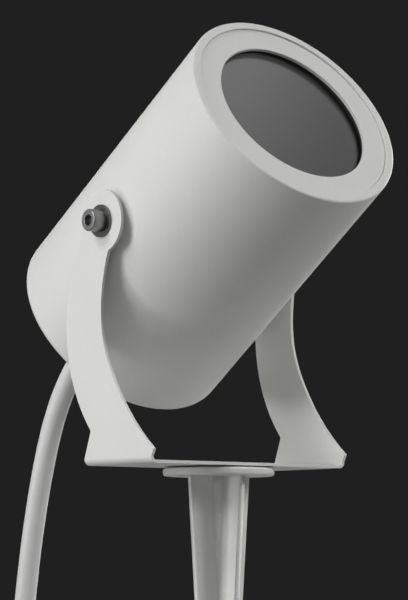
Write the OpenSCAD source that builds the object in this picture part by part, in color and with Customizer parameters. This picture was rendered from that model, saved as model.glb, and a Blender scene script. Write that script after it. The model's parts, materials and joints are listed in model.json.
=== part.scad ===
// Garden spotlight on a ground stake: round housing, bent sheet yoke, ribbed spike, mains lead with plug.
// Millimetres. The origin is the tip of the spike, +Z is up and the light shines towards -Y.

/* [Housing] */
// outside diameter of the round housing
housing_diameter = 90; // [60:1:140]
// reach of the housing from the pivot to the front rim
front_reach = 70.2; // [50:0.1:110]
// reach of the housing from the pivot to the rear face
rear_reach = 59.8; // [50:0.1:90]
// thickness of the housing wall behind the glass seat
wall_thickness = 4; // [3:0.5:6]
// thickness of the wall in front of the glass seat, which shows as the rim round the bezel
rim_thickness = 3.35; // [2:0.05:5]
// draft of the casting: how much smaller the radius is at the rear face
housing_draft = 0.35; // [0:0.05:1.5]
// angle of the light above the horizontal at rest
beam_tilt = 35.4; // [0:0.1:74]

/* [Front] */
// diameter of the hole in the bezel
aperture_diameter = 63.8; // [40:0.1:72]
// thickness of the bezel's lip
bezel_lip = 1.3; // [1:0.1:3]
// thickness of the seal between the lip and the glass
seal_thickness = 1.5; // [0.8:0.1:2.5]
// depth of the bezel's face behind the housing's rim
bezel_recess = 0.7; // [0.2:0.1:2]
// thickness of the front glass
glass_thickness = 4; // [3:0.5:6]

/* [Yoke] */
// thickness of the yoke's sheet
sheet_thickness = 1.2; // [1:0.1:3]
// height of the pivot above the underside of the yoke
yoke_height = 93.3; // [76:0.1:130]
// space between the housing and each arm
side_gap = 1.9; // [0.8:0.1:4]
// inside radius of the two bends
bend_radius = 1.3; // [1:0.1:4]
// radius of the arms' round heads
head_radius = 12.2; // [9:0.1:16]
// reach of the yoke's strip in front of the pivot
strip_front = 30.6; // [24:0.1:40]
// reach of the yoke's strip behind the pivot
strip_back = 10.4; // [6:0.1:20]

/* [Stake] */
// length of the spike under its disc
spike_length = 200; // [120:1:300]
// half-width of the ribs where they meet the disc
rib_reach = 14.3; // [10:0.1:20]
// thickness of the ribs
rib_thickness = 2.6; // [2:0.1:4]
// diameter of the disc that carries the yoke
disc_diameter = 43; // [34:0.5:60]
// thickness of the disc
disc_thickness = 3; // [2:0.1:6]
// distance of the pivot behind the stake's axis
pivot_back = 12; // [0:0.1:20]

/* [Pivot hardware] */
// thread diameter of the pivot screws
screw_diameter = 5; // [4:1:6]
// diameter of the pivot screws' heads
head_diameter = 8.5; // [7:0.1:10]
// diameter of the flat washers
flat_washer_diameter = 12.6; // [10:0.1:15]

/* [Cable] */
// diameter of the mains lead
cable_diameter = 8.5; // [6:0.1:10]
// height of the cable gland above the middle of the rear face
gland_offset = 5; // [0:0.5:10]
// diameter of the coil at the middle of its turns
coil_diameter = 102; // [85:1:102]
// diameter of the plug
plug_diameter = 38; // [34:1:42]

/* [Hidden] */
paint = "#dad9d5";
steel = "#8f9092";
zinc = "#4c4c4e";
black_rubber = "#222222";
grey_rubber = "#c9c8c4";
running_gap = 0.06;
touch = 0.05;

// arms: centre and radius of each edge's arcs, counted back and up from the pivot, for the height given here
laid_out_height = 93.3;
blade_front = [-45.7, -34.5, 46];
blade_neck = [-63.1, -34.5, 63.4];
blade_toe = [-89.36, -12.25, 95];
blade_back = [-40.4, -39, 62.4];
corner_fillet = 1.2;

// heights on the stake
washer_thickness = 0.6;
disc_top = spike_length + disc_thickness;
yoke_base = disc_top + washer_thickness;
pivot_z = yoke_base + yoke_height;
bend_outside = bend_radius + sheet_thickness;
spike_tip = 18;
core_depth = 60;
csk_radius = 4.7;
csk_rim = 0.2;
screw_radius = screw_diameter / 2;
swivel_screw_length = 14;
swivel_washer_radius = 12.9;
tip_point = 0.4;
tip_radius = 1.9;
core_point = 1.4;
core_radius = 4.8;

// across the pivot
housing_radius = housing_diameter / 2;
arm_inside = housing_radius + side_gap;
arm_outside = arm_inside + sheet_thickness;
spot_face = housing_radius - 0.8;
insert_radius = 4;
insert_length = 10;
boss_radius = 8;
spacer_radius = 7.5;
flat_washer_thickness = 1;
spring_washer_thickness = 0.6;
head_height = 5;

// along the light, counted forwards from the pivot
bezel_face = front_reach - bezel_recess;
lip_back = bezel_face - bezel_lip;
glass_front = lip_back - seal_thickness;
glass_back = glass_front - glass_thickness;
seal_setback = 0.6;
gasket_thickness = 1.5;
seat_top = glass_back - gasket_thickness;
seat_height = 4;
shoulder = seat_top - seat_height;
bore_radius = housing_radius - wall_thickness;
thread_radius = housing_radius - rim_thickness;
seat_radius = 34.2;
skirt_length = 5;
glass_radius = thread_radius - 2.15;
rear_wall = 4;
plate_back = 9;
plate_thickness = 5;
pad_thickness = 0.5;
board_back = plate_back + plate_thickness + pad_thickness;
board_thickness = 1.6;
board_radius = 20;
reflector_back = board_back + board_thickness;
reflector_wall = 1.2;
lug_radius = 5.5;
lug_circle = bore_radius - 4.5;
lug_angles = [90, 210, 330];
plate_screw_radius = 1.5;
lead_places = [-3, 3];
lead_drop = 17;
lead_radius = 0.9;
lead_hole = 1;
driver_length = 45;
terminal_length = 10;
driver_end = plate_back - driver_length;
terminal_end = driver_end - terminal_length;

// cable gland, counted backwards from the rear face
cable_radius = cable_diameter / 2;
gland_thread = 8;
gland_seal_thickness = 1;
gland_hex = 5;
gland_neck = 3;
gland_nut_length = 7;
boot_end = 26.2;
boot_start = 6.5;
gland_lip = cable_radius + 2.65;
gland_hex_radius = 11.55;
locknut_radius = 12.7;
gland_wall = 1.3;

// the lead: places are [behind, above], first from where it leaves the boot, then above the floor
exit_distance = rear_reach + boot_end;
exit_y = pivot_back + exit_distance * cos(beam_tilt) + gland_offset * sin(beam_tilt);
exit_z = pivot_z - exit_distance * sin(beam_tilt) + gland_offset * cos(beam_tilt);
tie_thickness = 1;
lying_z = tie_thickness + cable_radius;
hanging_route = [
    [0, 0], [5, -4], [10, -9.7], [14.5, -16], [18.5, -23], [22.2, -31], [25.5, -40], [28.5, -49.5],
    [31, -58.5], [33.3, -68], [35.4, -77.5], [37.2, -87], [38.8, -96], [40.4, -109], [41.9, -123],
    [43.2, -138], [44.2, -153], [45, -167]
];
landing_height = 79.3;
landing_route = [
    [45.2, 64.7], [43.7, 49.9], [39.8, 35.9], [33.4, 23.3], [24.5, 12.9], [13.5, 5.3], [1, 1], [-12, 0]
];
hanging_end = hanging_route[len(hanging_route) - 1];
hanging_stretch = (exit_z - lying_z - landing_height) / -hanging_end[1];
drop_route = concat(
    [for (p = hanging_route) [exit_y + p[0], exit_z + p[1] * hanging_stretch]],
    [for (p = landing_route) [exit_y + p[0], lying_z + p[1]]]
);
coil_radius = coil_diameter / 2;
outer_lane = coil_radius + cable_radius;
coil_x = -outer_lane;
coil_run_in = 21;
coil_y = exit_y + landing_route[len(landing_route) - 1][0] - coil_run_in;
plug_radius = plug_diameter / 2;
upper_lane_z = lying_z + cable_diameter;
rise = plug_radius - upper_lane_z;
tail_length = 61;
tail_route = [
    for (p = [[coil_run_in, 0], [29, 0.08], [37, 0.31], [45, 0.65], [53, 0.92], [tail_length, 1]])
        [coil_y + p[0], upper_lane_z + rise * p[1]]
];
plug_y = coil_y + tail_length;
plug_relief = 25;
plug_length = 30;
pin_radius = 2.4;
pin_root_radius = 2;
pin_root_length = 9;
pin_length = 19;
pin_spacing = 19;
tube_sides = 10;

// ---------- shared shapes ----------

// points along an arc, centre first, from one angle to another
function arc(x, y, r, from, to, steps = 12) =
    [for (i = [0 : steps]) let (a = from + (to - from) * i / steps) [x + r * cos(a), y + r * sin(a)]];

// puts a piece drawn along +Z on the light's axis, with the pivot as its zero
module along_light() {
    translate([0, pivot_back, pivot_z]) rotate([90 - beam_tilt, 0, 0]) children();
}

// puts a piece drawn along +Z on the gland's axis, with the rear face as its zero and +Z leading backwards
module along_gland() {
    along_light() translate([0, gland_offset, -rear_reach]) rotate([180, 0, 0]) children();
}

// repeats a piece drawn along +X on both sides of the pivot
module both_sides() {
    for (side = [0, 1]) translate([0, pivot_back, pivot_z]) mirror([side, 0, 0]) children();
}

// puts a piece drawn along +Z behind the plug's cable end, lying on the floor
module along_plug() {
    translate([coil_x - outer_lane, plug_y, plug_radius]) rotate([-90, 0, 0]) children();
}

module ring(outside, inside, height) {
    difference() {
        cylinder(h = height, r = outside, $fn = 96);
        translate([0, 0, -1]) cylinder(h = height + 2, r = inside, $fn = 96);
    }
}

// round disc with rounded rims
module soft_disc(radius, height, soft) {
    rotate_extrude($fn = 120) polygon(concat(
        [[0, 0]],
        arc(radius - soft, soft, soft, -90, 0, 5),
        arc(radius - soft, height - soft, soft, 0, 90, 5),
        [[0, height]]
    ));
}

// round tube along places [y, z] in the plane x = across
module swept_tube(route, across, start, end) {
    count = len(route);
    heading = [for (i = [0 : count - 1])
        i == 0 ? start : i == count - 1 ? end :
            (route[i + 1] - route[i - 1]) / norm(route[i + 1] - route[i - 1])];
    points = [for (i = [0 : count - 1]) for (k = [0 : tube_sides - 1])
        let (a = 360 * (k + 0.5) / tube_sides, out = cable_radius * sin(a))
            [
                across + cable_radius * cos(a),
                route[i][0] - heading[i][1] * out,
                route[i][1] + heading[i][0] * out
            ]];
    sides = [for (i = [0 : count - 2]) for (k = [0 : tube_sides - 1])
        let (n = (k + 1) % tube_sides, a = i * tube_sides, b = a + tube_sides)
            each [[a + k, b + k, b + n], [a + k, b + n, a + n]]];
    near_end = [for (k = [0 : tube_sides - 1]) k];
    far_end = [for (k = [tube_sides - 1 : -1 : 0]) (count - 1) * tube_sides + k];
    polyhedron(points = points, faces = concat([near_end], sides, [far_end]), convexity = 6);
}

// ---------- stake ----------

module spike_rib() {
    rotate([90, 0, 0]) linear_extrude(rib_thickness, center = true) polygon([
        [-rib_reach, spike_length + 1], [-rib_reach, spike_length], [-rib_thickness / 2, spike_tip],
        [rib_thickness / 2, spike_tip], [rib_reach, spike_length], [rib_reach, spike_length + 1]
    ]);
}

module ground_spike() {
    color(paint) difference() {
        union() {
            translate([0, 0, spike_length]) soft_disc(disc_diameter / 2, disc_thickness, 1);
            for (turn = [0, 90]) rotate(turn) spike_rib();
            cylinder(h = spike_tip + 2, r1 = tip_point, r2 = tip_radius, $fn = 48);
            translate([0, 0, spike_length - core_depth])
                cylinder(h = core_depth + 1, r1 = core_point, r2 = core_radius, $fn = 64);
        }
        translate([0, 0, disc_top - swivel_screw_length - 1])
            cylinder(h = swivel_screw_length + 2, r = screw_radius, $fn = 48);
        translate([0, 0, disc_top - 1]) cylinder(h = 2, r = csk_radius, $fn = 64);
    }
}

module swivel_washer() {
    color(black_rubber) translate([0, 0, disc_top]) ring(swivel_washer_radius, csk_radius, washer_thickness);
}

module swivel_screw() {
    top = yoke_base + sheet_thickness;
    cone = csk_radius - screw_radius;
    shank = top - disc_top + swivel_screw_length - csk_rim - cone;
    color(steel) difference() {
        union() {
            translate([0, 0, top - csk_rim]) cylinder(h = csk_rim, r = csk_radius, $fn = 64);
            translate([0, 0, top - csk_rim - cone])
                cylinder(h = cone, r1 = screw_radius, r2 = csk_radius, $fn = 64);
            translate([0, 0, disc_top - swivel_screw_length])
                cylinder(h = shank, r = screw_radius, $fn = 48);
        }
        translate([0, 0, top - 1.8]) cylinder(h = 2, r = 1.75, $fn = 6);
    }
}

// ---------- yoke ----------

// an arc of the arm's edge, drawn out to the yoke's height
function edge(a, from, to, steps) =
    [for (p = arc(a[0], a[1], a[2], from, to, steps)) [p[0], p[1] * yoke_height / laid_out_height]];

module arm_outline() {
    foot = bend_outside - yoke_height;
    offset(r = -corner_fillet, $fn = 24) offset(r = corner_fillet, $fn = 24) union() {
        circle(r = head_radius, $fn = 96);
        polygon(concat(
            [[-strip_front, foot]],
            edge(blade_toe, -52.9, -27, 8),
            edge(blade_front, -27, 0, 10),
            edge(blade_neck, 2, 28, 8),
            edge(blade_back, 38, -41.3, 24),
            [[strip_back, foot]]
        ));
    }
}

module yoke_arm() {
    translate([arm_inside, 0, 0]) rotate([90, 0, 90]) linear_extrude(sheet_thickness) arm_outline();
}

module yoke_bend() {
    translate([arm_inside - bend_radius, 0, bend_outside - yoke_height]) intersection() {
        translate([0, strip_back, 0]) rotate([90, 0, 0]) difference() {
            cylinder(h = strip_front + strip_back, r = bend_outside, $fn = 64);
            translate([0, 0, -1]) cylinder(h = strip_front + strip_back + 2, r = bend_radius, $fn = 48);
        }
        translate([0, -100, -bend_outside]) cube([bend_outside, 200, bend_outside]);
    }
}

module yoke_bracket() {
    half_strip = arm_inside - bend_radius;
    top = yoke_base + sheet_thickness;
    hole = csk_radius + running_gap;
    color(paint) difference() {
        union() {
            both_sides() {
                yoke_arm();
                yoke_bend();
            }
            translate([-half_strip, pivot_back - strip_front, yoke_base])
                cube([2 * half_strip, strip_front + strip_back, sheet_thickness]);
        }
        both_sides() rotate([0, 90, 0])
            cylinder(h = arm_outside + 1, r = screw_radius + running_gap, $fn = 48);
        translate([0, 0, top - csk_rim]) cylinder(h = csk_rim + 1, r = hole, $fn = 64);
        translate([0, 0, top - csk_rim - hole]) cylinder(h = hole, r1 = 0, r2 = hole, $fn = 64);
        translate([0, 0, yoke_base - 1]) cylinder(h = 2, r = screw_radius + running_gap, $fn = 48);
    }
}

// ---------- housing and front ----------

module housing_cup() {
    rear_round = 3.2;
    rear_radius = housing_radius - housing_draft;
    rim_round = 0.8;
    inner_round = 3;
    rotate_extrude($fn = 180) polygon(concat(
        [[0, -rear_reach]],
        arc(rear_radius - rear_round, -rear_reach + rear_round, rear_round, -90, 0, 8),
        arc(housing_radius - rim_round, front_reach - rim_round, rim_round, 0, 90, 4),
        [[thread_radius, front_reach], [thread_radius, shoulder], [bore_radius, shoulder]],
        arc(bore_radius - inner_round, inner_round + rear_wall - rear_reach, inner_round, 0, -90, 4),
        [[0, rear_wall - rear_reach]]
    ));
}

module housing_shell() {
    color(paint) along_light() difference() {
        union() {
            housing_cup();
            for (side = [-1, 1]) translate([side * (spot_face - insert_length - 1), 0, 0])
                rotate([0, 90 * side, 0]) cylinder(h = insert_length - 0.5, r = boss_radius, $fn = 64);
            for (a = lug_angles) rotate(a) translate([lug_circle, 0, plate_back - 8])
                cylinder(h = 8, r = lug_radius, $fn = 48);
        }
        for (side = [-1, 1]) rotate([0, 90 * side, 0]) {
            translate([0, 0, spot_face]) cylinder(h = 4, r = spacer_radius + 1, $fn = 64);
            translate([0, 0, spot_face - insert_length - 2])
                cylinder(h = insert_length + 4, r = insert_radius, $fn = 48);
        }
        for (a = lug_angles) rotate(a) translate([lug_circle, 0, plate_back - 7])
            cylinder(h = 8, r = plate_screw_radius, $fn = 32);
        translate([0, gland_offset, -rear_reach - 1])
            cylinder(h = rear_wall + 2, r = gland_thread, $fn = 64);
    }
}

module front_bezel() {
    lip_radius = thread_radius - running_gap;
    hole = aperture_diameter / 2;
    soft = 0.3;
    color(paint) along_light() rotate_extrude($fn = 180) polygon(concat(
        arc(hole + soft, bezel_face - soft, soft, 180, 90, 3),
        arc(lip_radius - soft, bezel_face - soft, soft, 90, 0, 3),
        [
            [lip_radius, lip_back], [thread_radius, lip_back],
            [thread_radius, glass_front - skirt_length], [glass_radius + 0.1, glass_front - skirt_length],
            [glass_radius + 0.1, lip_back], [hole, lip_back]
        ]
    ));
}

module front_seal() {
    color(black_rubber) along_light() translate([0, 0, glass_front])
        ring(glass_radius, aperture_diameter / 2 + seal_setback, seal_thickness);
}

module front_glass() {
    color("#5a6068") along_light() translate([0, 0, glass_back])
        cylinder(h = glass_thickness, r = glass_radius, $fn = 180);
}

module glass_gasket() {
    color(black_rubber) along_light() translate([0, 0, seat_top])
        ring(glass_radius - 0.1, seat_radius, gasket_thickness);
}

module glass_seat_ring() {
    color(steel) along_light() translate([0, 0, shoulder])
        ring(thread_radius - touch, seat_radius, seat_height);
}

// ---------- light source ----------

// radius of the reflecting bowl at a height above its foot
function bowl_radius(height, mouth, depth) = sqrt(81 + (mouth * mouth - 81) * height / depth);

module reflector() {
    foot = 1.5;
    mouth = seat_radius - 0.8;
    depth = seat_top - 1 - reflector_back;
    steps = 16;
    inside = [for (i = [0 : steps]) let (h = depth * i / steps) [bowl_radius(h, mouth - 1, depth), h]];
    outside = [for (i = [steps : -1 : 1]) let (h = depth * i / steps)
        [bowl_radius(h, mouth - 1, depth) + reflector_wall, h]];
    color("#cfd1d4") along_light() translate([0, 0, reflector_back]) rotate_extrude($fn = 120)
        polygon(concat(inside, [for (p = outside) if (p[1] > foot + 1) p], [[14, foot + 0.8], [14, 0]]));
}

module led_chip() {
    color("#e6c84a") along_light() translate([0, 0, reflector_back]) cylinder(h = 1.3, r = 7, $fn = 64);
}

module led_board() {
    color("#f2f2ee") along_light() difference() {
        translate([0, 0, board_back]) cylinder(h = board_thickness, r = board_radius, $fn = 96);
        for (x = lead_places) translate([x, -lead_drop, board_back - 1])
            cylinder(h = board_thickness + 2, r = lead_hole, $fn = 24);
    }
}

module thermal_pad() {
    color("#8a9fb0") along_light() translate([0, 0, plate_back + plate_thickness])
        cylinder(h = pad_thickness, r = 15, $fn = 64);
}

module led_leads() {
    length = board_back + board_thickness - plate_back + 2;
    color("#b03028") along_light() for (x = lead_places)
        translate([x, -lead_drop, plate_back - 1]) cylinder(h = length, r = lead_radius, $fn = 24);
}

module heat_plate() {
    color("#b9bbbe") along_light() difference() {
        translate([0, 0, plate_back]) cylinder(h = plate_thickness, r = bore_radius - 0.1, $fn = 120);
        for (a = lug_angles) rotate(a) translate([lug_circle, 0, plate_back - 1])
            cylinder(h = plate_thickness + 2, r = plate_screw_radius + 0.2, $fn = 32);
        for (x = lead_places) translate([x, -lead_drop, plate_back - 1])
            cylinder(h = plate_thickness + 2, r = lead_hole, $fn = 24);
    }
}

module heat_plate_screws() {
    depth = 6;
    length = plate_thickness + depth;
    color(steel) along_light() for (a = lug_angles) rotate(a) translate([lug_circle, 0, plate_back - depth])
        difference() {
            union() {
                cylinder(h = length, r = plate_screw_radius, $fn = 32);
                translate([0, 0, length]) cylinder(h = 3, r = 2.75, $fn = 32);
            }
            translate([0, 0, length + 1.4]) cylinder(h = 2, r = 1.44, $fn = 6);
        }
}

module driver_case() {
    width = 44;
    depth = 32;
    color("#3a3c40") along_light()
        translate([-width / 2, -depth / 2, driver_end]) cube([width, depth, driver_length]);
}

module terminal_block() {
    width = 26;
    depth = 12;
    color("#e9e7e0") along_light() difference() {
        translate([-width / 2, gland_offset - depth / 2, terminal_end]) cube([width, depth, terminal_length]);
        for (x = [-8, 0, 8]) translate([x, gland_offset, terminal_end + terminal_length / 2])
            rotate([-90, 0, 0]) cylinder(h = depth, r = 2, $fn = 32);
    }
}

// ---------- pivot hardware ----------

module pivot_inserts() {
    color(steel) both_sides() translate([spot_face - insert_length, 0, 0]) rotate([0, 90, 0])
        ring(insert_radius, screw_radius, insert_length);
}

module pivot_spacers() {
    color("#c9c8c4") both_sides() translate([spot_face, 0, 0]) rotate([0, 90, 0])
        ring(spacer_radius, screw_radius + 0.1, arm_inside - spot_face);
}

module flat_washers() {
    color(zinc) both_sides() translate([arm_outside, 0, 0]) rotate([0, 90, 0])
        ring(flat_washer_diameter / 2, screw_radius + 0.1, flat_washer_thickness);
}

module spring_washers() {
    color(zinc) both_sides() translate([arm_outside + flat_washer_thickness, 0, 0]) difference() {
        rotate([0, 90, 0]) ring(head_diameter / 2, screw_radius + 0.1, spring_washer_thickness);
        rotate([20, 0, 0]) translate([-1, 0, -6]) cube([spring_washer_thickness + 2, 0.8, 6]);
    }
}

module pivot_screws() {
    seat = arm_outside + flat_washer_thickness + spring_washer_thickness;
    tip = spot_face - insert_length + 1.5;
    socket = 2.31;
    color(zinc) both_sides() rotate([0, 90, 0]) difference() {
        union() {
            translate([0, 0, tip]) cylinder(h = seat - tip, r = screw_radius, $fn = 48);
            translate([0, 0, seat]) cylinder(h = head_height - 0.4, r = head_diameter / 2, $fn = 64);
            translate([0, 0, seat + head_height - 0.4])
                cylinder(h = 0.4, r1 = head_diameter / 2, r2 = head_diameter / 2 - 0.4, $fn = 64);
        }
        translate([0, 0, seat + head_height - 2.5]) cylinder(h = 3, r = socket, $fn = 6);
    }
}

// ---------- cable gland ----------

module gland_body() {
    color(grey_rubber) along_gland() difference() {
        union() {
            translate([0, 0, -rear_wall - 5]) cylinder(h = rear_wall + 6, r = gland_thread, $fn = 64);
            translate([0, 0, gland_seal_thickness]) cylinder(h = gland_hex, r = gland_hex_radius, $fn = 6);
            translate([0, 0, gland_seal_thickness + gland_hex])
                cylinder(h = gland_neck, r = gland_lip + gland_wall, $fn = 64);
        }
        translate([0, 0, -rear_wall - 6]) cylinder(h = 30, r = cable_radius + touch, $fn = 48);
        translate([0, 0, boot_start]) cylinder(h = 10, r = gland_lip, $fn = 48);
    }
}

module gland_seal() {
    color(black_rubber) along_gland() ring(9.6, gland_thread, gland_seal_thickness);
}

module gland_locknut() {
    color(grey_rubber) along_gland() translate([0, 0, -rear_wall - 4]) difference() {
        cylinder(h = 4, r = locknut_radius, $fn = 6);
        translate([0, 0, -1]) cylinder(h = 6, r = gland_thread, $fn = 64);
    }
}

module gland_nut() {
    start = gland_seal_thickness + gland_hex;
    outside = gland_lip + 3.4;
    color(grey_rubber) along_gland() rotate_extrude($fn = 96) polygon(concat(
        [[gland_lip + gland_wall, start], [outside - 0.4, start], [outside, start + 0.4]],
        arc(outside - 2.5, start + gland_nut_length - 2.5, 2.5, 0, 90, 5),
        [
            [gland_lip, start + gland_nut_length],
            [gland_lip, start + gland_neck],
            [gland_lip + gland_wall, start + gland_neck]
        ]
    ));
}

module cable_boot() {
    hold = gland_seal_thickness + gland_hex + gland_nut_length;
    wide = gland_lip - touch;
    slim = cable_radius + 1;
    color(black_rubber) along_gland() rotate_extrude($fn = 72) polygon([
        [cable_radius + touch, boot_start], [wide, boot_start], [wide, hold],
        [slim, boot_end], [cable_radius + touch, boot_end]
    ]);
}

module cable_inner_end() {
    color(grey_rubber) along_gland() translate([0, 0, -rear_reach - terminal_end])
        cylinder(h = boot_end + rear_reach + terminal_end, r = cable_radius, $fn = 48);
}

// ---------- the lead, its coil and its plug ----------

module cable_drop() {
    color(grey_rubber) swept_tube(drop_route, 0, [cos(beam_tilt), -sin(beam_tilt)], [-1, 0]);
}

module cable_coil() {
    soft = cable_radius;
    half = cable_diameter;
    color(grey_rubber) translate([coil_x, coil_y, lying_z - cable_radius]) rotate_extrude($fn = 120)
        polygon(concat(
            arc(coil_radius + half - soft, soft, soft, -90, 0, 4),
            arc(coil_radius + half - soft, 2 * half - soft, soft, 0, 90, 4),
            arc(coil_radius - half + soft, 2 * half - soft, soft, 90, 180, 4),
            arc(coil_radius - half + soft, soft, soft, 180, 270, 4)
        ));
}

module coil_tie() {
    width = 9;
    inside = 2 * cable_diameter;
    color(black_rubber) translate([coil_x, coil_y + coil_radius, lying_z - cable_radius]) difference() {
        translate([-width / 2, -inside / 2 - tie_thickness, -tie_thickness])
            cube([width, inside + 2 * tie_thickness, inside + 2 * tie_thickness]);
        translate([-width, -inside / 2, 0]) cube([2 * width, inside, inside]);
    }
}

module cable_tail() {
    color(grey_rubber) swept_tube(tail_route, coil_x - outer_lane, [1, 0], [1, 0]);
}

module plug_body() {
    neck = plug_relief - 6;
    back = 8;
    soft = 2;
    color(black_rubber) along_plug() difference() {
        rotate_extrude($fn = 96) polygon(concat(
            [[0, 0], [cable_radius + 1.2, 0], [cable_radius + 3, neck]],
            arc(plug_radius - back, plug_relief + back - 2, back, -60, 0, 5),
            arc(plug_radius - soft, plug_relief + plug_length - soft, soft, 0, 90, 4),
            [[0, plug_relief + plug_length]]
        ));
        for (x = [-1, 1]) translate([x * pin_spacing / 2, 0, plug_relief + plug_length - pin_root_length])
            cylinder(h = pin_root_length + 1, r = pin_root_radius, $fn = 32);
        for (y = [-1, 1]) translate([-3.5, y * (plug_radius - 1.5) - 2, plug_relief + plug_length - 16])
            cube([7, 4, 17]);
    }
}

module plug_pins() {
    color(steel) along_plug() for (x = [-pin_spacing / 2, pin_spacing / 2])
        translate([x, 0, plug_relief + plug_length]) {
            translate([0, 0, -pin_root_length]) cylinder(h = pin_root_length, r = pin_root_radius, $fn = 32);
            cylinder(h = pin_length - 1, r = pin_radius, $fn = 32);
            translate([0, 0, pin_length - 1]) cylinder(h = 1, r1 = pin_radius, r2 = pin_radius - 1, $fn = 32);
        }
}

module plug_earth_strips() {
    depth = 2;
    color(steel) along_plug() for (y = [-1, 1])
        translate([-3.5, y * (plug_radius - 3.5 + depth / 2) - depth / 2, plug_relief + plug_length - 16])
            cube([7, depth, 14]);
}

ground_spike();
swivel_washer();
swivel_screw();
yoke_bracket();
housing_shell();
front_bezel();
front_seal();
front_glass();
glass_gasket();
glass_seat_ring();
reflector();
led_chip();
led_board();
thermal_pad();
led_leads();
heat_plate();
heat_plate_screws();
driver_case();
terminal_block();
pivot_inserts();
pivot_spacers();
flat_washers();
spring_washers();
pivot_screws();
gland_body();
gland_seal();
gland_locknut();
gland_nut();
cable_boot();
cable_inner_end();
cable_drop();
cable_coil();
coil_tie();
cable_tail();
plug_body();
plug_pins();
plug_earth_strips();
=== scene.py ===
import json
import math

import bmesh
import bpy
from mathutils import Matrix, Vector


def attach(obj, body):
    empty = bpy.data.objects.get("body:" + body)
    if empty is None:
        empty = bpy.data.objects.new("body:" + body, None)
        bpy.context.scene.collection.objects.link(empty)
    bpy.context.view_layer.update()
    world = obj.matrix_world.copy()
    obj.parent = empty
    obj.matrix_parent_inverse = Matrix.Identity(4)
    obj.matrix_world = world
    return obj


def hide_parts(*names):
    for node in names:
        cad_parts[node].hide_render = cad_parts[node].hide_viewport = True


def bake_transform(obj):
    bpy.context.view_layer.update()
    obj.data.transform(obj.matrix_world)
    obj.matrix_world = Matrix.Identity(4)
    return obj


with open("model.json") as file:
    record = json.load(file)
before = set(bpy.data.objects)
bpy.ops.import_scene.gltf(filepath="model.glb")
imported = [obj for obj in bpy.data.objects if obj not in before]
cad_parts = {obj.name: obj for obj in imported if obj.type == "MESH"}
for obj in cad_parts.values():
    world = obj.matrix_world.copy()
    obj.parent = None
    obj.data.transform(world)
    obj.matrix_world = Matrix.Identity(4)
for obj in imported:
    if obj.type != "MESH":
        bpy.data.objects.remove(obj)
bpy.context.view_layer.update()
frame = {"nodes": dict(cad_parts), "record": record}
NODES = frame["nodes"]
MM = 0.001

# ---------------------------------------------------------------- sizes shared with the part

TILT = math.radians(35.4)
PIVOT = Vector((0, 12, 296.9)) * MM
BEAM = Vector((0, -math.cos(TILT), math.sin(TILT)))
BEAM_UP = Vector((0, math.sin(TILT), math.cos(TILT)))
REAR_REACH = 59.8 * MM
GLAND_OFFSET = 5 * MM
BOOT_END = 26.2 * MM
REAR_CENTRE = PIVOT - BEAM * REAR_REACH + BEAM_UP * GLAND_OFFSET
CABLE_EXIT = REAR_CENTRE - BEAM * BOOT_END
CABLE_RADIUS = 4.25 * MM
LYING_Z = 5.25 * MM
OUTER_LANE = 55.25 * MM
INNER_LANE = 46.75 * MM
LAYER = 8.5 * MM
COIL_CENTRE = Vector((-OUTER_LANE, CABLE_EXIT.y - 33 * MM, LYING_Z))
PLUG_RADIUS = 19 * MM

# ---------------------------------------------------------------- camera

VIEW_BACK = Vector((-0.62996, -0.77304, -0.07456)).normalized()
VIEW_RIGHT = Vector((0, 0, 1)).cross(VIEW_BACK).normalized()
VIEW_UP = VIEW_BACK.cross(VIEW_RIGHT)
VIEW_PLACE = Vector((-1058.71, -1290.2, 143.37)) * MM
FOCAL_LENGTH = 259.59
SENSOR_WIDTH = 36
FARTHEST_SEEN = 60


def place_camera():
    camera = bpy.data.objects.new("camera", bpy.data.cameras.new("camera"))
    bpy.context.scene.collection.objects.link(camera)
    camera.data.lens = FOCAL_LENGTH
    camera.data.sensor_width = SENSOR_WIDTH
    camera.data.clip_end = FARTHEST_SEEN
    turn = Matrix((VIEW_RIGHT, VIEW_UP, VIEW_BACK)).transposed()
    camera.matrix_world = Matrix.Translation(VIEW_PLACE) @ turn.to_4x4()
    bpy.context.scene.camera = camera


place_camera()

# ---------------------------------------------------------------- helpers

MERGE_DISTANCE = 1e-6
FLAT_WITHIN = math.radians(0.4)
ROUNDED_ABOVE = math.radians(35)
CURVE_STEPS = 4
TUBE_FINENESS = 7


def add_object(name, mesh, material, body=None):
    piece = bpy.data.objects.new(name, mesh)
    bpy.context.scene.collection.objects.link(piece)
    mesh.materials.append(material)
    if body:
        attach(piece, body)
    return piece


def mesh_from(shape, name):
    """The bmesh as a mesh, and the bmesh freed."""
    mesh = bpy.data.meshes.new(name)
    shape.to_mesh(mesh)
    shape.free()
    return mesh


def soft_shading(mesh, crisp_above):
    """Smooth faces, with edges sharper than the angle in degrees kept crisp."""
    mesh.shade_smooth()
    mesh.set_sharp_from_angle(angle=math.radians(crisp_above))


def smooth_step(low, high, value):
    t = min(max((value - low) / (high - low), 0), 1)
    return t * t * (3 - 2 * t)


def rounded(points):
    """The points with a smooth curve drawn through them."""
    ends = [points[0] * 2 - points[1], *points, points[-1] * 2 - points[-2]]
    curve = []
    for before, a, b, after in zip(ends, ends[1:], ends[2:], ends[3:]):
        for i in range(CURVE_STEPS):
            t = i / CURVE_STEPS
            curve.append(0.5 * (2 * a + (b - before) * t
                                + (2 * before - 5 * a + 4 * b - after) * t * t
                                + (3 * a - before - 3 * b + after) * t ** 3))
    return [*curve, points[-1]]


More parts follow.
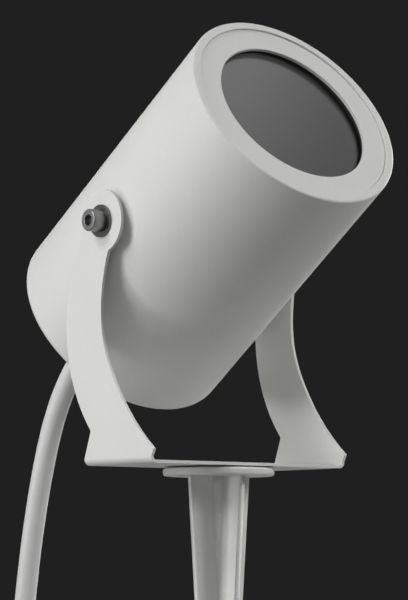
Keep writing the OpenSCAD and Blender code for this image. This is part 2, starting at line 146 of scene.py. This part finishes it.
def tube(name, path, radius):
    """A round closed tube along a path, as a mesh."""
    line = bpy.data.curves.new(name + "_line", "CURVE")
    line.dimensions = "3D"
    line.bevel_depth = radius
    line.bevel_resolution = TUBE_FINENESS
    line.use_fill_caps = True
    spline = line.splines.new("POLY")
    spline.points.add(len(path) - 1)
    for point, place in zip(spline.points, path):
        point.co = (*place, 1)
    holder = bpy.data.objects.new(name + "_line", line)
    bpy.context.scene.collection.objects.link(holder)
    bpy.context.view_layer.update()
    evaluated = holder.evaluated_get(bpy.context.evaluated_depsgraph_get())
    mesh = bpy.data.meshes.new_from_object(evaluated)
    bpy.data.objects.remove(holder)
    bpy.data.curves.remove(line)
    mesh.name = name
    return mesh


# ---------------------------------------------------------------- finishes

# the powder grain: faint clouds and speckles in the colour, fine lumps in the surface
CLOUD_SCALE, CLOUD_SHARE = 22, 0.55
SPECKLE_SCALE, SPECKLE_SHARE = 900, 0.45
PATTERN_RANGE = (0.3, 0.7)
TINT_RANGE = (0.965, 1.02)
ROUGHNESS_SPREAD = 0.12
LUMP_DEPTH = 0.1 * MM

GRAIN_SOCKETS = (
    ("Colour", "NodeSocketColor", "INPUT"), ("Grain", "NodeSocketFloat", "INPUT"),
    ("Height", "NodeSocketFloat", "INPUT"), ("Roughness", "NodeSocketFloat", "INPUT"),
    ("Colour", "NodeSocketColor", "OUTPUT"), ("Roughness", "NodeSocketFloat", "OUTPUT"),
    ("Normal", "NodeSocketVector", "OUTPUT"),
)


def powder_grain_group():
    """Fine lumps of a sprayed and baked powder, and the faint clouds in its colour."""
    group = bpy.data.node_groups.new("powder_grain", "ShaderNodeTree")
    for name, kind, way in GRAIN_SOCKETS:
        group.interface.new_socket(name=name, in_out=way, socket_type=kind)
    nodes, links = group.nodes, group.links
    given, out = nodes.new("NodeGroupInput"), nodes.new("NodeGroupOutput")
    place = nodes.new("ShaderNodeTexCoord")
    fine, clouds, speckle = (nodes.new("ShaderNodeTexNoise") for _ in range(3))
    for noise, detail in ((fine, 2), (clouds, 3), (speckle, 1)):
        noise.inputs["Detail"].default_value = detail
        links.new(place.outputs["Object"], noise.inputs["Vector"])
    links.new(given.outputs["Grain"], fine.inputs["Scale"])
    clouds.inputs["Scale"].default_value = CLOUD_SCALE
    speckle.inputs["Scale"].default_value = SPECKLE_SCALE

    cloud_part = nodes.new("ShaderNodeMath")
    cloud_part.operation = "MULTIPLY"
    cloud_part.inputs[1].default_value = CLOUD_SHARE
    links.new(clouds.outputs["Fac"], cloud_part.inputs[0])
    pattern = nodes.new("ShaderNodeMath")
    pattern.operation = "MULTIPLY_ADD"
    pattern.inputs[1].default_value = SPECKLE_SHARE
    links.new(speckle.outputs["Fac"], pattern.inputs[0])
    links.new(cloud_part.outputs[0], pattern.inputs[2])
    shade = nodes.new("ShaderNodeMapRange")
    for socket, value in zip(("From Min", "From Max", "To Min", "To Max"),
                             (*PATTERN_RANGE, *TINT_RANGE)):
        shade.inputs[socket].default_value = value
    links.new(pattern.outputs[0], shade.inputs["Value"])
    tint = nodes.new("ShaderNodeVectorMath")
    tint.operation = "SCALE"
    links.new(given.outputs["Colour"], tint.inputs[0])
    links.new(shade.outputs["Result"], tint.inputs["Scale"])
    links.new(tint.outputs[0], out.inputs["Colour"])

    rough = nodes.new("ShaderNodeMath")
    rough.operation = "MULTIPLY_ADD"
    rough.inputs[1].default_value = ROUGHNESS_SPREAD
    links.new(fine.outputs["Fac"], rough.inputs[0])
    links.new(given.outputs["Roughness"], rough.inputs[2])
    links.new(rough.outputs[0], out.inputs["Roughness"])

    bump = nodes.new("ShaderNodeBump")
    bump.inputs["Distance"].default_value = LUMP_DEPTH
    links.new(given.outputs["Height"], bump.inputs["Strength"])
    links.new(fine.outputs["Fac"], bump.inputs["Height"])
    links.new(bump.outputs["Normal"], out.inputs["Normal"])
    return group


POWDER_GRAIN = powder_grain_group()


def new_material(name):
    material = bpy.data.materials.new(name)
    material.use_nodes = True
    return material, material.node_tree.nodes["Principled BSDF"]


def grained(name, colour, grain, height, roughness, metallic=0.0):
    """A finish with the powder grain group in front of its shader."""
    material, shader = new_material(name)
    tree = material.node_tree
    grain_node = tree.nodes.new("ShaderNodeGroup")
    grain_node.node_tree = POWDER_GRAIN
    grain_node.inputs["Colour"].default_value = (*colour, 1)
    grain_node.inputs["Grain"].default_value = grain
    grain_node.inputs["Height"].default_value = height
    grain_node.inputs["Roughness"].default_value = roughness
    tree.links.new(grain_node.outputs["Colour"], shader.inputs["Base Color"])
    tree.links.new(grain_node.outputs["Roughness"], shader.inputs["Roughness"])
    tree.links.new(grain_node.outputs["Normal"], shader.inputs["Normal"])
    shader.inputs["Metallic"].default_value = metallic
    return material


# the dark glass, with painted light and shade: its colour is lighter towards the upper left and
# darker towards the lower right, along the given way, from 30 mm before the middle of the front to
# 38 mm past it
PAINTED_SHADE_WAY = (-0.72, 0.4, 0.565)
PAINTED_SHADE_MIDDLE = Vector((0, -41.1, 337.3)).dot(PAINTED_SHADE_WAY) * MM
PAINTED_SHADE_REACH = (PAINTED_SHADE_MIDDLE - 30 * MM, PAINTED_SHADE_MIDDLE + 38 * MM)
PAINTED_SHADE_MIST_SCALE, PAINTED_SHADE_MIST_DEPTH = 30, 8 * MM
GLASS_DARK = (0.012, 0.012, 0.0125)
GLASS_LIGHT = (0.078, 0.078, 0.078)
GLASS_ROUGHNESS = 0.24


def glass_with_painted_shade():
    """Dark glass with painted shade: its colour is a little darker towards one side."""
    material, shader = new_material("front_glass")
    nodes, links = material.node_tree.nodes, material.node_tree.links
    place = nodes.new("ShaderNodeTexCoord")
    across = nodes.new("ShaderNodeVectorMath")
    across.operation = "DOT_PRODUCT"
    across.inputs[1].default_value = PAINTED_SHADE_WAY
    links.new(place.outputs["Object"], across.inputs[0])
    mist = nodes.new("ShaderNodeTexNoise")
    mist.inputs["Scale"].default_value = PAINTED_SHADE_MIST_SCALE
    links.new(place.outputs["Object"], mist.inputs["Vector"])
    misted = nodes.new("ShaderNodeMath")
    misted.operation = "MULTIPLY_ADD"
    misted.inputs[1].default_value = PAINTED_SHADE_MIST_DEPTH
    links.new(mist.outputs["Fac"], misted.inputs[0])
    links.new(across.outputs["Value"], misted.inputs[2])
    reach = nodes.new("ShaderNodeMapRange")
    reach.inputs["From Min"].default_value, reach.inputs["From Max"].default_value = PAINTED_SHADE_REACH
    links.new(misted.outputs[0], reach.inputs["Value"])
    # painted shade: the base colour ramps from the darker, shaded side to the lighter, lit side
    ramp = nodes.new("ShaderNodeValToRGB")
    ramp.color_ramp.interpolation = "EASE"
    for stop, colour in zip(ramp.color_ramp.elements, (GLASS_DARK, GLASS_LIGHT)):
        stop.color = (*colour, 1)
    links.new(reach.outputs["Result"], ramp.inputs["Fac"])
    links.new(ramp.outputs["Color"], shader.inputs["Base Color"])
    shader.inputs["Roughness"].default_value = GLASS_ROUGHNESS
    return material


# grained(name, colour, grain scale, lump height, roughness)
PAINT = grained("powder_coat", (0.72, 0.72, 0.704), 1500, 0.35, 0.5)
LEAD_RUBBER = grained("lead_rubber", (0.69, 0.69, 0.685), 500, 0.12, 0.42)
BLACK_RUBBER = grained("black_rubber", (0.022, 0.022, 0.023), 900, 0.3, 0.55)
GREY_PLASTIC = grained("gland_plastic", (0.55, 0.545, 0.525), 1200, 0.2, 0.4)
WHITE_PLASTIC = grained("white_plastic", (0.78, 0.78, 0.75), 1200, 0.12, 0.35)
BLACK_PLASTIC = grained("black_plastic", (0.02, 0.02, 0.022), 1500, 0.4, 0.45)
RED_INSULATION = grained("red_insulation", (0.45, 0.04, 0.03), 900, 0.1, 0.35)
GREY_PAD = grained("thermal_pad", (0.25, 0.32, 0.38), 700, 0.2, 0.65)
PHOSPHOR = grained("phosphor", (0.85, 0.6, 0.12), 2500, 0.15, 0.5)
STEEL = grained("bright_steel", (0.55, 0.55, 0.56), 1800, 0.12, 0.26, metallic=1)
ZINC = grained("dark_zinc", (0.3, 0.3, 0.3), 1800, 0.15, 0.32, metallic=1)
BLACK_ZINC = grained("black_zinc", (0.17, 0.17, 0.172), 1800, 0.18, 0.3, metallic=1)
ALUMINIUM = grained("turned_aluminium", (0.72, 0.73, 0.75), 1400, 0.12, 0.28, metallic=1)
BLACK_BOWL = grained("black_bowl", (0.03, 0.03, 0.032), 1400, 0.1, 0.4)
FRONT_GLASS = glass_with_painted_shade()

SLOT_FINISH = {
    "paint": PAINT, "black_rubber": BLACK_RUBBER, "steel": STEEL, "zinc": ZINC,
    "glass": FRONT_GLASS, "aluminium": ALUMINIUM, "phosphor": PHOSPHOR,
    "white_plastic": WHITE_PLASTIC, "grey_rubber": LEAD_RUBBER, "grey_plastic": GREY_PLASTIC,
    "lead_insulation": RED_INSULATION, "black_plastic": BLACK_PLASTIC,
}
NODE_FINISH = {
    "thermal_pad": GREY_PAD, "reflector": BLACK_BOWL,
    "flat_washers": BLACK_ZINC, "spring_washers": BLACK_ZINC,
}
SLOT_OF = {s["node"]: s["material_slot"] for s in frame["record"]["subparts"]}
BODIES = frame["record"]["behaviour"]["bodies"]
BODY_OF = {node: body for body, nodes in BODIES.items() for node in nodes}


def finish_of(node):
    return NODE_FINISH.get(node, SLOT_FINISH[SLOT_OF[node]])


for node_name, cad_node in NODES.items():
    cad_node.data.materials.clear()
    cad_node.data.materials.append(finish_of(node_name))

# ---------------------------------------------------------------- pieces with softened edges


def softened(node, width, segments):
    """A copy of a CAD node with its sharp edges rounded, standing for the node."""
    shape = bmesh.new()
    shape.from_mesh(NODES[node].data)
    bmesh.ops.remove_doubles(shape, verts=shape.verts, dist=MERGE_DISTANCE)
    bmesh.ops.dissolve_limit(shape, angle_limit=FLAT_WITHIN, verts=shape.verts, edges=shape.edges)
    corners = [e for e in shape.edges
               if len(e.link_faces) == 2 and e.calc_face_angle() > ROUNDED_ABOVE]
    bmesh.ops.bevel(shape, geom=corners, offset=width * MM, offset_type="OFFSET", affect="EDGES",
                    segments=segments, profile=0.5, material=-1, clamp_overlap=True)
    bmesh.ops.remove_doubles(shape, verts=shape.verts, dist=MERGE_DISTANCE)
    mesh = mesh_from(shape, node + "_soft")
    soft_shading(mesh, crisp_above=60)
    piece = add_object(node + "_soft", mesh, finish_of(node), BODY_OF[node])
    even = piece.modifiers.new("even_shading", "WEIGHTED_NORMAL")
    even.keep_sharp = True
    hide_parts(node)
    return piece


# the width of the rounded edges in mm, and the steps across them
EDGES_ON_LEAD = {
    "coil_tie": (1.0, 3), "plug_body": (0.6, 3), "plug_pins": (0.3, 2),
    "plug_earth_strips": (0.3, 2),
}
EDGES_ON_LAMP = {
    "yoke_bracket": (0.2, 2), "ground_spike": (0.15, 2), "pivot_screws": (0.18, 2),
    "flat_washers": (0.15, 2), "spring_washers": (0.1, 2), "swivel_screw": (0.15, 2),
    "gland_body": (0.4, 2), "cable_boot": (0.4, 3),
}

# ---------------------------------------------------------------- the mains lead

# in mm: backwards and up from the boot's end, then backwards from it and up from where it lies
HANGING_ROUTE = [
    (0, 0), (5, -4), (10, -9.7), (14.5, -16), (18.5, -23), (22.2, -31), (25.5, -40),
    (28.5, -49.5), (31, -58.5), (33.3, -68), (35.4, -77.5), (37.2, -87), (38.8, -96),
    (40.4, -109), (41.9, -123), (43.2, -138), (44.2, -153), (45, -167),
]
LANDING_ROUTE = [
    (45.2, 64.7), (43.7, 49.9), (39.8, 35.9), (33.4, 23.3), (24.5, 12.9), (13.5, 5.3), (1, 1),
    (-12, 0), (-22.5, 0),
]
# backwards from the coil in mm, and the share of the rise to the plug's middle
TAIL_ROUTE = [(11, 0), (21, 0), (29, 0.08), (37, 0.31), (45, 0.65), (53, 0.92), (61, 1)]
INSIDE_BOOT = 8 * MM

# the coil, in degrees turned: where it moves to the inner lane and back, and up a layer
COIL_DEGREES = 1260
COIL_STEP = 10
TO_INNER_LANE = (295, 350)
TO_OUTER_LANE = (970, 1020)
TO_UPPER_LAYER = (640, 690)


def coil_point(turned):
    """A place on the coil after turning so many degrees: two lanes side by side, in two layers."""
    inward = smooth_step(*TO_INNER_LANE, turned) - smooth_step(*TO_OUTER_LANE, turned)
    radius = OUTER_LANE - (OUTER_LANE - INNER_LANE) * inward
    height = LAYER * smooth_step(*TO_UPPER_LAYER, turned)
    a = -math.radians(turned)
    return COIL_CENTRE + Vector((radius * math.cos(a), radius * math.sin(a), height))


def lead_path():
    """The lead's line from just inside the boot to the plug."""
    first = CABLE_EXIT + BEAM * INSIDE_BOOT
    drop = [CABLE_EXIT + Vector((0, y, z)) * MM for y, z in HANGING_ROUTE]
    drop += [Vector((0, CABLE_EXIT.y + y * MM, LYING_Z + z * MM)) for y, z in LANDING_ROUTE]
    turns = [coil_point(turned) for turned in range(0, COIL_DEGREES + 1, COIL_STEP)]
    top = LYING_Z + LAYER
    tail = [Vector((COIL_CENTRE.x - OUTER_LANE, COIL_CENTRE.y + y * MM,
                    top + (PLUG_RADIUS - top) * rise)) for y, rise in TAIL_ROUTE]
    return rounded([first, *drop, *turns, *tail])[CURVE_STEPS - 1:]


def make_lead():
    on_lead = [softened(node, *edge) for node, edge in EDGES_ON_LEAD.items()]
    path = lead_path()
    lead = add_object("mains_lead", tube("mains_lead", path, CABLE_RADIUS), LEAD_RUBBER)
    lead.data.shade_smooth()
    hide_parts("cable_drop", "cable_coil", "cable_tail")
    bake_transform(lead)


make_lead()
for soft_node, edge in EDGES_ON_LAMP.items():
    softened(soft_node, *edge)

# ---------------------------------------------------------------- the gland's cap nut


def gland_nut():
    """The gland's cap nut: a turned dome with grip ribs round its side, sizes in mm."""
    bore, seat, outside = 6.9, 8.2, 10.3
    foot, seat_top, ribs_end, mouth = 6, 9, 10.5, 13
    foot_chamfer, mouth_chamfer, dome = 0.4, 0.3, 2.5
    sides, rib_gap, rib_depth = 72, 0.08, 0.3
    profile = [(seat, seat_top), (seat, foot), (outside - foot_chamfer, foot),
               (outside, foot + foot_chamfer), (outside, ribs_end)]
    profile += [(outside - dome + dome * math.cos(a), ribs_end + dome * math.sin(a))
                for a in (math.radians(step) for step in range(15, 91, 15))]
    profile += [(bore + mouth_chamfer, mouth), (bore, mouth - mouth_chamfer), (bore, seat_top),
                (seat, seat_top)]
    shape = bmesh.new()
    line = [shape.verts.new((r * MM, 0, h * MM)) for r, h in profile]
    edges = [shape.edges.new(pair) for pair in zip(line, line[1:])]
    bmesh.ops.spin(shape, geom=line + edges, axis=(0, 0, 1), cent=(0, 0, 0), angle=math.tau,
                   steps=sides, use_merge=True)
    bmesh.ops.remove_doubles(shape, verts=shape.verts, dist=MERGE_DISTANCE)
    bmesh.ops.recalc_face_normals(shape, faces=shape.faces)

    # every second upright face round the outside is sunk, which leaves the ribs
    upright = [f for f in shape.faces
               if f.calc_center_median().xy.length > (outside - 0.1) * MM
               and abs(f.normal.z) < 0.1]
    upright.sort(key=lambda f: math.atan2(*f.calc_center_median().xy))
    bmesh.ops.inset_individual(shape, faces=upright[::2], thickness=rib_gap * MM,
                               depth=-rib_depth * MM)

    turn = Matrix((Vector((-1, 0, 0)), BEAM_UP, -BEAM)).transposed()
    bmesh.ops.transform(shape, matrix=Matrix.Translation(REAR_CENTRE) @ turn.to_4x4(),
                        verts=shape.verts)
    mesh = mesh_from(shape, "gland_cap_nut")
    soft_shading(mesh, crisp_above=35)
    piece = add_object("gland_cap_nut", mesh, finish_of("gland_nut"), "housing")
    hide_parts("gland_nut")


gland_nut()

# ---------------------------------------------------------------- floor and light

FLOOR_RADIUS = 8
BACKDROP_COLOUR = (0.0144, 0.0144, 0.0144)
STUDIO_DISTANCE = 2.2
GRID_SPREAD, BARE_SPREAD = 30, 180
GLASS_AIM = Vector((1.4, -41.1, 337.3)) * MM

# name, direction from the lamp (side, front, up), size and power
STUDIO_LIGHTS = (
    ("key_light", (-1, 0.2, 0.4), (0.7, 0.7), 0.68),
    ("key_high", (-1, 0.1, 1), (0.8, 0.8), 0.78),
    ("low_left", (-1, 0.5, -0.04), (0.3, 0.7), 0.49),
    ("left_fill", (-1, -0.4, 0.4), (0.8, 0.8), 0.13),
    ("high_fill", (-0.6, -0.8, 0.7), (0.8, 0.8), 0.12),
    ("low_front", (-0.63, -0.77, -0.04), (0.3, 0.7), 0.1),
    ("right_rim", (1, 0.3, 0.3), (0.9, 0.9), 1.94),
    ("front_fill", (0.8, -1, 0.6), (0.9, 0.9), 1.33),
)

# the streak's edge shows as a slanting line across the upper left of the glass
STREAK_SIZE = 0.3
STREAK_EDGE = Vector((0.0203, 0.0193, 0.0109)).normalized()
STREAK_OUTWARD = Vector((-0.6645, 0.3892, 0.6379))
STREAK_CENTRE = Vector((0.9327, -0.2283, 1.497)) + STREAK_OUTWARD * (STREAK_SIZE / 2)


def make_floor():
    shape = bmesh.new()
    bmesh.ops.create_circle(shape, cap_ends=True, segments=64, radius=FLOOR_RADIUS)
    matt = grained("studio_floor", (0.46, 0.46, 0.455), grain=60, height=0.0, roughness=0.8)
    add_object("floor", mesh_from(shape, "floor"), matt)


def area_light(name, direction, distance, size, power, aim=PIVOT, spread=GRID_SPREAD, edge=None):
    """A soft light that faces its aim from a direction, with one of its edges along edge."""
    data = bpy.data.lights.new(name, "AREA")
    data.shape = "RECTANGLE"
    data.size, data.size_y = size
    data.energy = power
    data.spread = math.radians(spread)
    light = bpy.data.objects.new(name, data)
    bpy.context.scene.collection.objects.link(light)
    way = Vector(direction).normalized()
    light.location = aim + way * distance
    if edge is None:
        light.rotation_euler = way.to_track_quat("Z", "Y").to_euler()
    else:
        along = (edge - way * edge.dot(way)).normalized()
        light.rotation_euler = Matrix((along, way.cross(along), way)).transposed().to_euler()


def light_studio():
    for name, direction, size, power in STUDIO_LIGHTS:
        area_light(name, direction, STUDIO_DISTANCE, size, power)
    area_light("glass_glow", (0.643, -0.138, 0.754), 1.5, (0.5, 0.5), 0.82,
               aim=GLASS_AIM, spread=BARE_SPREAD)
    streak_way = STREAK_CENTRE - GLASS_AIM
    area_light("glass_streak", streak_way, streak_way.length, (STREAK_SIZE, STREAK_SIZE), 0.55,
               aim=GLASS_AIM, spread=BARE_SPREAD, edge=STREAK_EDGE)


def set_backdrop():
    world = bpy.data.worlds.new("studio")
    world.use_nodes = True
    world.node_tree.nodes["Background"].inputs["Color"].default_value = (*BACKDROP_COLOUR, 1)
    bpy.context.scene.world = world


make_floor()
light_studio()
set_backdrop()
bpy.context.scene.view_settings.view_transform = "Standard"
